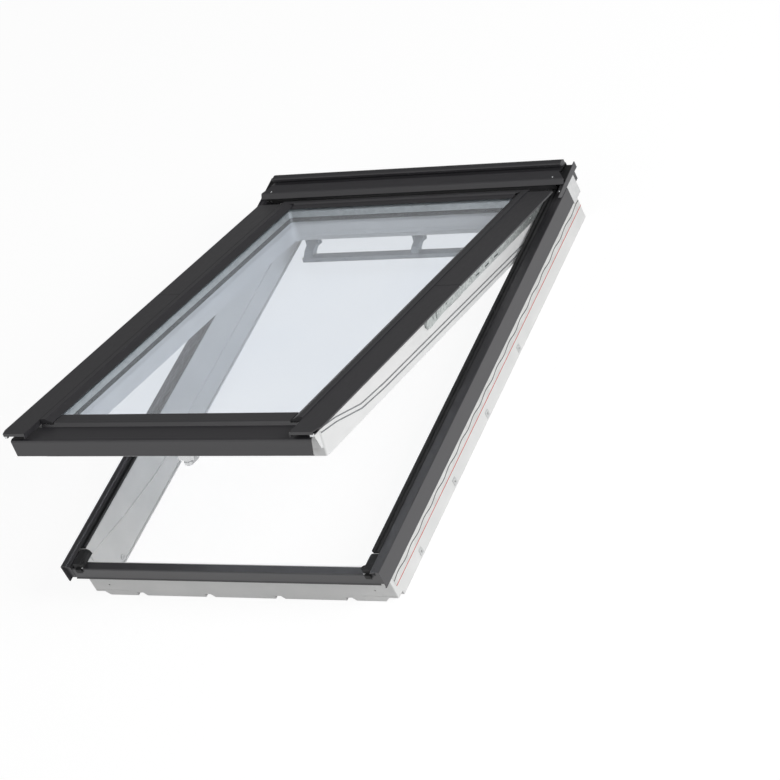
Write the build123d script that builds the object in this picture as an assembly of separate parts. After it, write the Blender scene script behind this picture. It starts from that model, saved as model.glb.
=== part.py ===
from build123d import *
import math
import os

# A top-hung and centre-pivot roof window, lying flat with its room side down.
# X runs across the window, Y up the roof slope, Z out towards the weather.
# Every moving piece is modelled closed and then swung to its rest position.
# All sizes are in millimetres.

# Outer frame, one white moulding
FRAME_W = 780.0
FRAME_L = 1180.0
WALL = 20.5
WALL_TOP = 123.7
CORNER_TOP = 109.0
BOTTOM_WALL_TOP = 104.0
BOTTOM_WALL_IN_TOP = 60.0
HALF_W = FRAME_W / 2
HALF_L = FRAME_L / 2
INNER_X = HALF_W - WALL
INNER_Y = HALF_L - WALL
CORNER_R = 2.5
SEAT_REACH = 21.5
SEAT_TOP = 46.0
SEAT_LOW = 22.0
LEDGE = 3.0
LEDGE_FOOT = 6.0
LEDGE_TOP = 49.5
FOOT_H = 11.0
FOOT_HALF = HALF_W - 36.0
FOOT_SLOPE = 12.0
NOTCH_XS = (-269.0, -90.0, 90.0, 269.0)
NOTCH_W = 22.0
NOTCH_H = 9.0
FIX_SCREW_X = HALF_W - 48.0
FIX_SCREW_Z = 33.0
HOOK_YS = (-460.0, -258.0, -56.0, 146.0)
HOOK_HOLE_R = 2.6
HOOK_HOLE_Z = 13.0

# Frame cladding, folded sheet
SHEET = 1.5
SEAT_GAP = 0.3
COVER_X = HALF_W + 17.0
COVER_STEP = 2.5
COVER_TOP = WALL_TOP + SEAT_GAP + SHEET + COVER_STEP
COVER_IN_X = HALF_W - 6.5
FLANGE_LOW = 81.0
COVER_LOW_Y = -HALF_L - 34.5
COVER_HIGH_Y = HALF_L - 43.0
BOTTOM_COVER_Y = -HALF_L - 26.0
BOTTOM_COVER_IN_Y = -HALF_L - 5.0
BOTTOM_COVER_TOP = CORNER_TOP + SEAT_GAP + SHEET
BOTTOM_COVER_HALF = HALF_W
GASKET_X0 = INNER_X - 1.5
GASKET_X1 = INNER_X + 11.5
GASKET_TOP = 131.8

# Top hinge and lifting arms
OPEN_ANGLE = 17.0
HINGE_Y = HALF_L - 45.0
HINGE_Z = 110.0
HINGE_PIN_R = 6.0
PIN_FIT = 0.05
ARM_X0 = INNER_X - 8.5
ARM_T = 4.0
ARM_X1 = ARM_X0 + ARM_T
ARM_Z0 = 99.0
ARM_Z1 = 119.0
ARM_TAIL_Y = -96.0
ARM_TAIL_R = 11.0
PIVOT_Y = 52.0
PIVOT_Z = 129.0
PIVOT_PIN_R = 5.0

# Sash moulding
SASH_X = ARM_X0 - 3.0
SASH_LOW_Y = -INNER_Y + 7.5
SASH_HIGH_Y = HINGE_Y - 40.0
SASH_Z0 = 50.0
SASH_Z1 = 132.0
SASH_IN_X = SASH_X - 49.0
SASH_IN_LOW_Y = SASH_LOW_Y + 21.0
SASH_IN_HIGH_Y = SASH_HIGH_Y - 29.0
REBATE_Z = 109.0
REBATE = 16.0
OVERHANG_Y = -HALF_L - 30.0
OVERHANG_Z0 = 114.5
OVERHANG_Z1 = 124.5
OVERHANG_HALF = SASH_X - 12.0
POCKET_X = SASH_X - 25.0
POCKET_Y0 = PIVOT_Y - 38.0
POCKET_Y1 = PIVOT_Y + 24.0
POCKET_Z = PIVOT_Z - 36.0

# Sealed glass unit
PANE_T = 4.0
CAVITY = 16.0
GLASS_Z0 = REBATE_Z + SEAT_GAP + 1.0

# Sash cladding
SIGHT_X = SASH_IN_X - 7.0
SIGHT_LOW_Y = SASH_IN_LOW_Y + 7.0
SIGHT_HIGH_Y = SASH_IN_HIGH_Y + 1.0
BEAD_X = SASH_X - 26.0
SASH_COVER_IN = BEAD_X + 2.0
SASH_COVER_X = COVER_X - 8.5
SASH_COVER_TOP = 144.0
SASH_COVER_LIP = 139.5
SEAM_Y = PIVOT_Y - 32.0
SEAM_GAP = 1.5
LEG_SETBACK = 3.0
SASH_COVER_LOW_Y = -HALF_L - 43.0
SASH_COVER_HIGH_Y = HINGE_Y - 55.0
APRON_Y = -HALF_L - 39.0
APRON_LOW = 86.0
APRON_HALF = HALF_W - 11.0

# Hood over the head of the window
HOOD_HALF = COVER_X + 2.0
HOOD_CUT_X = HALF_W + 1.0
HOOD_BACK_Y = HALF_L + 16.0
HOOD_END_Y = HALF_L + 19.0
HOOD_FOLD_Y = HINGE_Y
HOOD_FOLD_Z = 157.4
HOOD_LIP_Y = HOOD_FOLD_Y - 9.0
HOOD_LIP_Z = 147.0
HOOD_FACE_Y = HALF_L - 7.0
HOOD_FACE_Z = 159.0
BEAD_TOP_Z = 168.0
BEAD_HALF = HOOD_CUT_X
END_PLATE_T = 2.0
HOOD_RIM_LOW = 135.0
HOOD_TIP_Y = HOOD_FOLD_Y - 52.0

# Handle, ventilation bar and the bush of the cleaning bolt
HANDLE_Y = SASH_LOW_Y + 14.0
HANDLE_HALF = 20.0
VENT_AXIS_Y = SASH_HIGH_Y - 18.0
VENT_AXIS_Z = 40.0
VENT_BAR_Y = VENT_AXIS_Y - 35.0
VENT_BAR_Z = 14.0
VENT_HALF = SASH_IN_X - 23.0
VENT_BRACKETS = ((-VENT_HALF + 16.0, 12.0), (22.0, 9.0), (VENT_HALF - 10.0, 12.0))
BUSH_BORE_R = 3.5
BUSH_WALL = 2.5
BUSH_Y = -HALF_L + 96.0
BUSH_Z = 17.0

# The origin is the middle of the whole plan, which the side cladding and the
# hood ends set
ORIGIN_Y = (COVER_LOW_Y + HOOD_END_Y) / 2


def polygon_x(points, x0, x1):
    """Solid with a (y, z) outline running across the window from x0 to x1."""
    outline = Polyline(*[(x0, y, z) for y, z in points], close=True)
    return extrude(make_face(outline), amount=x1 - x0, dir=(1, 0, 0))


def polygon_y(points, y0, y1):
    """Solid with an (x, z) outline running up the slope from y0 to y1."""
    outline = Polyline(*[(x, y0, z) for x, z in points], close=True)
    return extrude(make_face(outline), amount=y1 - y0, dir=(0, 1, 0))


def block(x0, x1, y0, y1, z0, z1):
    """Rectangular block between two corners."""
    centre = Pos((x0 + x1) / 2, (y0 + y1) / 2, (z0 + z1) / 2)
    return centre * Box(abs(x1 - x0), abs(y1 - y0), abs(z1 - z0))


def polygon_z(points, z0, z1):
    """Solid with an (x, y) outline standing from z0 to z1."""
    outline = Polyline(*[(x, y, z0) for x, y in points], close=True)
    return extrude(make_face(outline), amount=z1 - z0, dir=(0, 0, 1))


def rod_x(x0, x1, y, z, radius):
    """Round rod across the window."""
    place = Pos((x0 + x1) / 2, y, z) * Rot(0, 90, 0)
    return place * Cylinder(radius, abs(x1 - x0))


def rod_y(y0, y1, x, z, radius):
    """Round rod along the slope."""
    place = Pos(x, (y0 + y1) / 2, z) * Rot(90, 0, 0)
    return place * Cylinder(radius, abs(y1 - y0))


def rod_z(z0, z1, x, y, radius):
    """Round rod standing up."""
    return Pos(x, y, (z0 + z1) / 2) * Cylinder(radius, abs(z1 - z0))


def folded(path, thickness):
    """Outline of a folded sheet whose outer face follows the path."""
    normals = []
    for (a0, b0), (a1, b1) in zip(path, path[1:]):
        length = math.hypot(a1 - a0, b1 - b0)
        normals.append(((b1 - b0) / length, -(a1 - a0) / length))
    inner = []
    for i, (a, b) in enumerate(path):
        before = normals[max(i - 1, 0)]
        after = normals[min(i, len(normals) - 1)]
        na = before[0] + after[0]
        nb = before[1] + after[1]
        scale = thickness * 2 / (na * na + nb * nb)
        inner.append((a + na * scale, b + nb * scale))
    return path + inner[::-1]


def slab(x0, x1, y0, y1, z0, z1, radius):
    """Flat plate with rounded corners in plan."""
    plan = RectangleRounded(x1 - x0, y1 - y0, radius)
    return extrude(Pos((x0 + x1) / 2, (y0 + y1) / 2, z0) * plan, amount=z1 - z0)


def other_side(shape):
    """Mirror image on the other side of the window."""
    return mirror(shape, about=Plane.YZ)


def open_up(shape):
    """Swing a closed piece to its rest position about the top hinge."""
    axis = Axis((0, HINGE_Y, HINGE_Z), (1, 0, 0))
    return shape.rotate(axis, -OPEN_ANGLE)


def save(name, shape):
    """Write one node, measured from the origin."""
    placed = shape.moved(Location((0, -ORIGIN_Y, 0)))
    export_step(placed, "parts/" + name + ".step")


def group(shapes):
    """Separate solids held in one node."""
    return Compound(children=list(shapes))


def side_ledge(sign):
    """Thicker lower part of one side wall, rising to the bottom corner."""
    outline = [
        (-INNER_Y, 0),
        (-INNER_Y, LEDGE_TOP + 53),
        (-INNER_Y + 150, LEDGE_TOP + 22),
        (-INNER_Y + 290, LEDGE_TOP + 1),
        (-INNER_Y + 380, LEDGE_TOP - 4),
        (-INNER_Y + 490, LEDGE_TOP),
        (INNER_Y + 1, LEDGE_TOP),
        (INNER_Y + 1, 0),
    ]
    slope = [
        (INNER_X + 1, 0),
        (INNER_X - LEDGE_FOOT, 0),
        (INNER_X - LEDGE, LEDGE_TOP),
        (INNER_X - LEDGE / 2, LEDGE_TOP + 55),
        (INNER_X + 1, LEDGE_TOP + 55),
    ]
    ledge = polygon_x(outline, INNER_X - LEDGE_FOOT - 1, INNER_X + 1)
    ledge &= polygon_y(slope, -INNER_Y - 1, INNER_Y + 2)
    return ledge if sign > 0 else other_side(ledge)


def bottom_seat():
    """Ledge inside the bottom wall, split for the handle and its keep."""
    inner = -INNER_Y + SEAT_REACH
    points = [
        (-INNER_Y - 1, SEAT_LOW - 4),
        (-INNER_Y - 1, SEAT_TOP),
        (inner, SEAT_TOP),
        (inner, SEAT_TOP - 4),
        (-INNER_Y + 1, SEAT_LOW),
    ]
    ledge = polygon_x(points, -INNER_X, INNER_X)
    return ledge - block(-70, 70, -INNER_Y, 0, 0, SEAT_TOP + 1)


def outer_frame():
    """White moulded ring with its seat, feet, notches and screw holes."""
    ring = slab(-HALF_W, HALF_W, -HALF_L, HALF_L, 0, WALL_TOP, CORNER_R)
    ring -= slab(-INNER_X, INNER_X, -INNER_Y, INNER_Y, -1, WALL_TOP + 1, 6)
    ring -= block(-HALF_W - 1, HALF_W + 1, -HALF_L - 1, -INNER_Y + 1,
                  CORNER_TOP, WALL_TOP + 1)
    ring -= polygon_x([
        (-HALF_L - 1, BOTTOM_WALL_TOP),
        (-HALF_L + 3, BOTTOM_WALL_TOP),
        (-INNER_Y + 1, BOTTOM_WALL_IN_TOP),
        (-INNER_Y + 1, WALL_TOP + 1),
        (-HALF_L - 1, WALL_TOP + 1),
    ], -INNER_X, INNER_X)
    ring += side_ledge(1)
    ring += side_ledge(-1)
    ring += bottom_seat()
    # Raised corners of the underside along the bottom edge
    for sign in (1, -1):
        recess = [
            (sign * FOOT_HALF, -1),
            (sign * (FOOT_HALF + FOOT_SLOPE), FOOT_H),
            (sign * (HALF_W + 1), FOOT_H),
            (sign * (HALF_W + 1), -1),
        ]
        ring -= polygon_y(recess, -HALF_L - 1, -INNER_Y + 1)
        groove = block(sign * 300, sign * (HALF_W + 1), -HALF_L - 1, -HALF_L + 0.8,
                       FOOT_H + 4, FOOT_H + 5.2)
        ring -= groove
        ring -= rod_y(-HALF_L - 1, -HALF_L + 8, sign * FIX_SCREW_X, FIX_SCREW_Z, 2.2)
    for x in NOTCH_XS:
        notch = [
            (x - NOTCH_W / 2, -1),
            (x - NOTCH_W / 2, NOTCH_H),
            (x + NOTCH_W / 2 - 6, NOTCH_H),
            (x + NOTCH_W / 2 + 3, -1),
        ]
        ring -= polygon_y(notch, -HALF_L - 1, -INNER_Y + 1)
    # Pilot holes of the side fixing hooks
    for sign in (1, -1):
        for y in HOOK_YS:
            ring -= rod_x(sign * (HALF_W - 12), sign * (HALF_W + 1), y, HOOK_HOLE_Z,
                          HOOK_HOLE_R)
    # Shallow groove for the lining near the room side
    for sign in (1, -1):
        ring -= block(sign * (INNER_X - LEDGE_FOOT - 1), sign * (INNER_X - 1),
                      -INNER_Y + 30, INNER_Y - 30, 3, 8)
    return ring


def frame_cover():
    """Right side cladding of the frame, a folded strip with a drip flange."""
    path = [
        (COVER_IN_X, COVER_TOP - COVER_STEP),
        (COVER_X - 15.0, COVER_TOP - COVER_STEP),
        (COVER_X - 13.0, COVER_TOP),
        (COVER_X - 1.5, COVER_TOP),
        (COVER_X, COVER_TOP - 1.5),
        (COVER_X, FLANGE_LOW + 1),
        (COVER_X - 3, FLANGE_LOW),
    ]
    strip = polygon_y(folded(path, SHEET), COVER_LOW_Y, COVER_HIGH_Y)
    web = block(HALF_W + SEAT_GAP, COVER_X - SHEET, COVER_LOW_Y + 8,
                COVER_LOW_Y + 10, FLANGE_LOW + 4, COVER_TOP - SHEET)
    return strip + web


def frame_bottom_cover():
    """Bottom cladding of the frame."""
    front = BOTTOM_COVER_Y
    top = BOTTOM_COVER_TOP
    leg = -HALF_L - SEAT_GAP
    path = [
        (leg, FLANGE_LOW + 8),
        (leg, BOTTOM_WALL_TOP - 2),
        (BOTTOM_COVER_IN_Y, top),
        (front + 2, top),
        (front, top - 2),
        (front, FLANGE_LOW + 3),
        (front - 2, FLANGE_LOW + 1),
    ]
    outline = folded(path[::-1], SHEET)
    half = BOTTOM_COVER_HALF
    return polygon_x(outline, -half, half)


def frame_gasket():
    """Black sealing strip along the top of the right side wall."""
    z0 = WALL_TOP + SEAT_GAP
    points = [
        (INNER_X + 1, z0),
        (GASKET_X0, z0 + 4),
        (GASKET_X0, GASKET_TOP),
        (GASKET_X0 + 3, GASKET_TOP),
        (GASKET_X0 + 5, z0 + 3),
        (GASKET_X1 - 4, z0 + 3),
        (GASKET_X1 - 3, GASKET_TOP - 2),
        (GASKET_X1 - 0.5, GASKET_TOP - 2),
        (GASKET_X1 + 1.5, z0 + 1.5),
        (GASKET_X1 + 1.5, z0),
    ]
    return polygon_y(points, -INNER_Y + 2, HOOD_FOLD_Y + 15)


def corner_block():
    """Rubber block closing the lower end of the right gasket."""
    z0 = BOTTOM_COVER_TOP + SEAT_GAP
    low = BOTTOM_COVER_Y + 3
    points = [
        (INNER_X - 12.0, z0),
        (INNER_X - 9.5, z0 + 9),
        (INNER_X - 4.5, z0 + 13),
        (INNER_X + 12.5, z0 + 13),
        (INNER_X + 12.5, z0),
    ]
    body = polygon_y(points, low, -INNER_Y + 0.7)
    lobe = rod_z(z0, z0 + 11, INNER_X - 7.5, low + 7, 7.5)
    return body + lobe


def hood_casing():
    """Lower hood, a folded sheet running right across the head."""
    path = [
        (HOOD_LIP_Y + 4, HOOD_LIP_Z - 1),
        (HOOD_LIP_Y, HOOD_LIP_Z),
        (HOOD_FOLD_Y - 1, HOOD_FOLD_Z - 1.5),
        (HOOD_FOLD_Y + 1.5, HOOD_FOLD_Z),
        (HOOD_FACE_Y - 12, HOOD_FACE_Z),
        (HOOD_FACE_Y, HOOD_FACE_Z - 4),
        (HOOD_BACK_Y - 2, HOOD_FACE_Z - 5),
        (HOOD_BACK_Y, HOOD_FACE_Z - 7),
        (HOOD_BACK_Y, 100.0),
    ]
    casing = polygon_x(folded(path, SHEET), -HOOD_HALF, HOOD_HALF)
    # Both ends are cut back on a slant behind the fold
    corner = polygon_z([
        (HOOD_HALF + 1, HOOD_FOLD_Y - 1),
        (HOOD_CUT_X, HOOD_FOLD_Y + 23),
        (HOOD_CUT_X, HOOD_END_Y + 2),
        (HOOD_HALF + 1, HOOD_END_Y + 2),
    ], 95, 175)
    return casing - corner - other_side(corner)


def hood_bead():
    """Upper bead casing lying on the back of the hood."""
    z0 = HOOD_FACE_Z - 4 + SEAT_GAP
    back = HOOD_BACK_Y - 3
    points = [
        (back - 15.5, z0),
        (back - 15.5, z0 + 3),
        (back - 20, z0 + 5),
        (back - 20, BEAD_TOP_Z - 2),
        (back - 18, BEAD_TOP_Z),
        (back - 6, BEAD_TOP_Z),
        (back, BEAD_TOP_Z - 4),
        (back, z0),
    ]
    return polygon_x(points, -BEAD_HALF, BEAD_HALF)


def hood_end():
    """Right end of the hood: channel floor with a raised outer rim."""
    x0 = HOOD_HALF + SEAT_GAP
    low = HOOD_RIM_LOW
    floor = block(HOOD_CUT_X + 0.5, x0 + 1, HOOD_FOLD_Y + 3, HOOD_BACK_Y - 3,
                  low - 1, low + 0.5)
    rim = polygon_x([
        (HOOD_TIP_Y, HOOD_LIP_Z - 2),
        (HOOD_TIP_Y + 12, low),
        (HOOD_TIP_Y + 16, low - 1),
        (HOOD_END_Y, low - 1),
        (HOOD_END_Y, HOOD_LIP_Z + 3.5),
    ], x0, x0 + END_PLATE_T)
    # Clip at the lip that takes the outer screw
    clip = block(HOOD_HALF - 8, x0 + 1, HOOD_TIP_Y + 17, HOOD_FOLD_Y + 4,
                 low - 1, HOOD_LIP_Z - 3)
    # Webs down to the side cladding and beside the wall of the frame
    front_web = block(HOOD_HALF - 6, HOOD_HALF - 4.6, HOOD_LIP_Y - 16,
                      COVER_HIGH_Y - 1, COVER_TOP + SEAT_GAP, low)
    back_web = block(HOOD_HALF - 6, HOOD_HALF - 4.6, COVER_HIGH_Y + 1,
                     HOOD_BACK_Y - 3, low - 30, low)
    return floor + rim + clip + front_web + back_web


def hood_foam():
    """Black foam filling the channel at the right end of the hood."""
    low = HOOD_RIM_LOW + 0.5 + SEAT_GAP
    return block(HOOD_CUT_X + SEAT_GAP, HOOD_HALF - 0.2, HOOD_FOLD_Y + 4.5,
                 HOOD_BACK_Y - 5, low, HOOD_LIP_Z + 1)


def flange_end():
    """Pale end piece carrying the right flange on up to the head."""
    return block(COVER_X - 2.4, COVER_X - 0.4, COVER_HIGH_Y + 0.5, HALF_L - 1,
                 FLANGE_LOW - 3, COVER_TOP)


def hood_screws():
    """Two small bright screws at each end of the hood."""
    heads = []
    for sign in (1, -1):
        inner_z = HOOD_FOLD_Z + 0.5
        outer_z = HOOD_LIP_Z - 3 + SEAT_GAP
        heads.append(rod_z(inner_z, inner_z + 1.4, sign * (HALF_W - 9),
                           HOOD_FOLD_Y + 4, 2.2))
        heads.append(rod_z(outer_z, outer_z + 1.4, sign * (HOOD_HALF - 3),
                           HOOD_TIP_Y + 22, 2.2))
    return group(heads)


def side_strip():
    """Sealing strip stuck along the right outer wall."""
    x0 = HALF_W + SEAT_GAP
    return block(x0, x0 + 0.9, -HALF_L + 12, HALF_L - 2, 35.5, 66.0)


def fixing_hooks():
    """Four small fixing plates on each outer side wall."""
    x0 = HALF_W + SEAT_GAP
    plates = []
    for y in HOOK_YS:
        plate = block(x0, x0 + 1.2, y - 7, y + 7, 5.0, 21.0)
        plate -= rod_x(x0 - 1, x0 + 2, y, HOOK_HOLE_Z, HOOK_HOLE_R)
        plates.append(plate)
        plates.append(other_side(plate))
    return group(plates)


def hinge_bracket():
    """Right top hinge: wall plate with the pin the arm turns on."""
    plate = block(INNER_X - 3.9, INNER_X - SEAT_GAP, HINGE_Y - 27, HINGE_Y + 17,
                  HINGE_Z - 26, HINGE_Z + 11)
    plate = chamfer(plate.edges().filter_by(Axis.X), 7.0)
    pin = rod_x(ARM_X0 - 7.0, INNER_X - 1.0, HINGE_Y, HINGE_Z, HINGE_PIN_R)
    head = rod_x(ARM_X0 - 7.0, ARM_X0 - 3.0, HINGE_Y, HINGE_Z, HINGE_PIN_R + 4)
    return plate + pin + head


def keep_plate():
    """Keep in the bottom wall that the closed handle engages."""
    y0 = -INNER_Y + SEAT_GAP
    plate = block(-40, 40, y0, y0 + 2.5, 22.0, 44.0)
    return plate - block(-14, 14, y0 - 1, y0 + 4, 27.0, 36.0)


def bolt_bush():
    """Bush on the left wall that takes the cleaning bolt of the turned sash."""
    face = -(INNER_X - LEDGE_FOOT) - 0.6
    bush = rod_x(face, face + 2.6, BUSH_Y, BUSH_Z, BUSH_BORE_R + BUSH_WALL)
    return bush - rod_x(face + 0.6, face + 5.0, BUSH_Y, BUSH_Z, BUSH_BORE_R)


def arm():
    """Right lifting arm with its round tail and cover tabs."""
    low = ARM_TAIL_Y + ARM_TAIL_R
    bar = block(ARM_X0, ARM_X1, low, HINGE_Y, ARM_Z0, ARM_Z1)
    bar += rod_x(ARM_X0, ARM_X1, HINGE_Y, HINGE_Z, 14.0)
    tail_z = ARM_Z0 + 6.0
    bar += rod_x(ARM_X0, ARM_X1, low, tail_z, ARM_TAIL_R)
    bar += polygon_x([
        (low, tail_z - ARM_TAIL_R),
        (low, tail_z + ARM_TAIL_R),
        (-30.0, ARM_Z1),
        (-30.0, ARM_Z0),
    ], ARM_X0, ARM_X1)
    # Cheek that carries the centre pivot
    bar += polygon_x([
        (PIVOT_Y - 34, ARM_Z1 - 2),
        (PIVOT_Y - 14, 138.0),
        (PIVOT_Y + 18, 141.0),
        (PIVOT_Y + 60, ARM_Z1 - 2),
    ], ARM_X0, ARM_X1)
    for back in (415.0, 295.0, 175.0, 75.0):
        y = HINGE_Y - back
        bar += block(ARM_X0, ARM_X1, y - 11, y + 11, ARM_Z1 - 2,
                     SASH_COVER_TOP - SHEET - SEAT_GAP)
    for y in (PIVOT_Y + 98, PIVOT_Y + 144, PIVOT_Y + 190):
        bar -= block(ARM_X0 - 1, ARM_X1 + 1, y - 9, y + 9, ARM_Z0 + 5, ARM_Z0 + 8)
    bar -= rod_x(ARM_X0 - 1, ARM_X1 + 1, HINGE_Y, HINGE_Z, HINGE_PIN_R + PIN_FIT)
    pin = rod_x(POCKET_X + 8, ARM_X1 - 0.5, PIVOT_Y, PIVOT_Z, PIVOT_PIN_R)
    return bar + pin


def side_cover_path():
    """Fold line of the wide covers over the arms and the sash sides."""
    return [
        (SASH_COVER_IN, SASH_Z1 + SEAT_GAP),
        (SASH_COVER_IN, SASH_COVER_TOP - 0.6),
        (SASH_COVER_IN + 1.2, SASH_COVER_TOP),
        (SASH_COVER_X - 3.0, SASH_COVER_TOP),
        (SASH_COVER_X - 0.6, SASH_COVER_TOP - 1.2),
        (SASH_COVER_X, SASH_COVER_TOP - 3.5),
        (SASH_COVER_X, SASH_COVER_LIP),
    ]


def upper_cover():
    """Right cover carried by the lifting arm."""
    y0 = SEAM_Y + SEAM_GAP / 2
    cover = polygon_y(folded(side_cover_path(), SHEET), y0, SASH_COVER_HIGH_Y)
    # The inner leg gives way to the pivot shoe
    cover -= block(SASH_COVER_IN - 1, SASH_COVER_IN + 6, PIVOT_Y - 14, PIVOT_Y + 14,
                   130.0, SASH_COVER_TOP - 2.0)
    return cover


def lower_cover():
    """Right cover carried by the sash, with a closed nose."""
    y1 = SEAM_Y - SEAM_GAP / 2
    low = SASH_COVER_LOW_Y
    cover = polygon_y(folded(side_cover_path(), SHEET), low, y1)
    cover += block(SASH_COVER_IN + 0.5, SASH_COVER_X - 9.0, low, low + 1.5,
                   SASH_COVER_TOP - 6.5, SASH_COVER_TOP - 1)
    # Outer corner of the nose cut on a slant
    cover -= polygon_z([
        (SASH_COVER_X + 1, low + 28),
        (SASH_COVER_X - 4, low + 13),
        (SASH_COVER_X - 9, low - 1),
        (SASH_COVER_X + 1, low - 1),
    ], SASH_COVER_LIP - 2, SASH_COVER_TOP + 1)
    # Both edges are set back at the seam, so the cover turns clear of the upper one
    cover -= block(SASH_COVER_IN - 1, SASH_COVER_X + 1, y1 - LEG_SETBACK, y1 + 1,
                   SASH_Z1 - 2, SASH_COVER_TOP - 2.0)
    return cover


def nose_cap():
    """Bright end piece under the lower end of the right sash cover."""
    y0 = SASH_COVER_LOW_Y + 1
    z1 = SASH_COVER_TOP - 6.5 - SEAT_GAP
    return block(SASH_COVER_X - 17, SASH_COVER_X - 10, y0, y0 + 6, z1 - 5, z1)


def seal_path():
    """Line of the side seals, which climbs towards the lower end of the sash."""
    return [
        (SASH_LOW_Y + 2, SASH_Z0 + 58),
        (SASH_LOW_Y + 62, SASH_Z0 + 50),
        (SASH_LOW_Y + 162, SASH_Z0 + 27),
        (SASH_LOW_Y + 262, SASH_Z0 + 22),
        (SASH_HIGH_Y - 14.5, SASH_Z0 + 12),
    ]


def seal_line(rise, half):
    """Outline of a strip of the given half width beside the seal line."""
    line = seal_path()
    return ([(y, z + rise + half) for y, z in line]
            + [(y, z + rise - half) for y, z in line[::-1]])


def sash_frame():
    """White moulded sash with its glass rebate and pivot pockets."""
    ring = slab(-SASH_X, SASH_X, SASH_LOW_Y, SASH_HIGH_Y, SASH_Z0, SASH_Z1, 5)
    ring -= slab(-SASH_IN_X, SASH_IN_X, SASH_IN_LOW_Y, SASH_IN_HIGH_Y,
                 SASH_Z0 - 1, SASH_Z1 + 1, 14)
    ring -= slab(-SASH_IN_X - REBATE, SASH_IN_X + REBATE,
                 SASH_IN_LOW_Y - REBATE + 3, SASH_IN_HIGH_Y + REBATE,
                 REBATE_Z, SASH_Z1 + 1, 4)
    # Bottom rail: cut down for the apron and carried out over the frame
    ring -= block(-SASH_COVER_IN + 2, SASH_COVER_IN - 2, SASH_LOW_Y - 1,
                  SASH_IN_LOW_Y - REBATE + 4, OVERHANG_Z1, SASH_Z1 + 1)
    nose = polygon_x([
        (SASH_LOW_Y + 4, OVERHANG_Z0 - 12),
        (SASH_LOW_Y + 4, OVERHANG_Z1),
        (OVERHANG_Y, OVERHANG_Z1),
        (OVERHANG_Y, OVERHANG_Z0 + 3),
        (OVERHANG_Y + 6, OVERHANG_Z0),
        (SASH_LOW_Y - 5, OVERHANG_Z0),
    ], -OVERHANG_HALF, OVERHANG_HALF)
    ring += nose
    # Toe under the overhang, following the slope of the frame's bottom wall
    ring += polygon_x([
        (SASH_LOW_Y + 4, SASH_Z0 + 18),
        (SASH_LOW_Y - 7, SASH_Z0 + 22),
        (SASH_LOW_Y - 18, OVERHANG_Z0 - 12),
        (SASH_LOW_Y - 18, OVERHANG_Z0),
        (SASH_LOW_Y + 4, OVERHANG_Z0),
    ], -SASH_X + 4, SASH_X - 4)
    for sign in (1, -1):
        ring -= block(sign * POCKET_X, sign * (SASH_X + 1), POCKET_Y0, POCKET_Y1,
                      POCKET_Z, SASH_Z1 + 1)
    # Grooves for the side seals
    for rise in (-5.0, 5.0):
        groove = polygon_x(seal_line(rise, 1.3), SASH_X - 2.5, SASH_X + 1)
        ring -= groove
        ring -= other_side(groove)
    return ring


def pane(z0):
    """One glass pane."""
    half = SASH_IN_X + REBATE - 3
    low = SASH_IN_LOW_Y - REBATE + 6
    high = SASH_IN_HIGH_Y + REBATE - 3
    return slab(-half, half, low, high, z0, z0 + PANE_T, 3)


def edge_ring(inset, width, z0, z1):
    """Rectangular ring set in from the edge of the glass."""
    half = SASH_IN_X + REBATE - 3 - inset
    low = SASH_IN_LOW_Y - REBATE + 6 + inset
    high = SASH_IN_HIGH_Y + REBATE - 3 - inset
    ring = slab(-half, half, low, high, z0, z1, 6)
    return ring - slab(-half + width, half - width, low + width, high - width,
                       z0 - 1, z1 + 1, 8)


def glass_spacer():
    """Edge seal and spacer between the panes."""
    z0 = GLASS_Z0 + PANE_T + 0.05
    return edge_ring(2.0, 17.0, z0, z0 + CAVITY - 0.1)


def glass_gasket():
    """Black gasket the sealed unit beds on."""
    half = SASH_IN_X + REBATE - 4
    low = SASH_IN_LOW_Y - REBATE + 7
    high = SASH_IN_HIGH_Y + REBATE - 4
    z0 = REBATE_Z + 0.1
    z1 = GLASS_Z0 - 0.1
    bed = slab(-half, half, low, high, z0, z1, 4)
    bed -= slab(-SASH_IN_X + 4, SASH_IN_X - 4, SASH_IN_LOW_Y + 4, SASH_IN_HIGH_Y - 4,
                z0 - 1, z1 + 1, 8)
    lip = slab(-SASH_IN_X + 0.5, SASH_IN_X - 0.5, SASH_IN_LOW_Y + 0.5,
               SASH_IN_HIGH_Y - 0.5, REBATE_Z - 9, z1, 13.5)
    lip -= slab(-SASH_IN_X + 4, SASH_IN_X - 4, SASH_IN_LOW_Y + 4, SASH_IN_HIGH_Y - 4,
                REBATE_Z - 10, z1 + 1, 8)
    return bed + lip


def glazing_bead():
    """Right glazing profile: ridge beside the cover, slope to the glass."""
    glass_top = GLASS_Z0 + 2 * PANE_T + CAVITY
    points = [
        (SASH_IN_X + REBATE + 1, SASH_Z1 + SEAT_GAP),
        (BEAD_X, SASH_Z1 + SEAT_GAP),
        (BEAD_X, SASH_COVER_TOP - 1.0),
        (BEAD_X - 1.0, SASH_COVER_TOP + 1.5),
        (BEAD_X - 13.0, SASH_COVER_TOP + 1.5),
        (BEAD_X - 15.0, SASH_COVER_TOP),
        (SIGHT_X + 1.0, glass_top + 3.2),
        (SIGHT_X, glass_top + 2.0),
        (SIGHT_X + 1.5, glass_top + SEAT_GAP),
        (SASH_IN_X + REBATE + 1, glass_top + SEAT_GAP),
    ]
    return polygon_y(points, SIGHT_LOW_Y - 37, SIGHT_HIGH_Y + 18)


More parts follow.
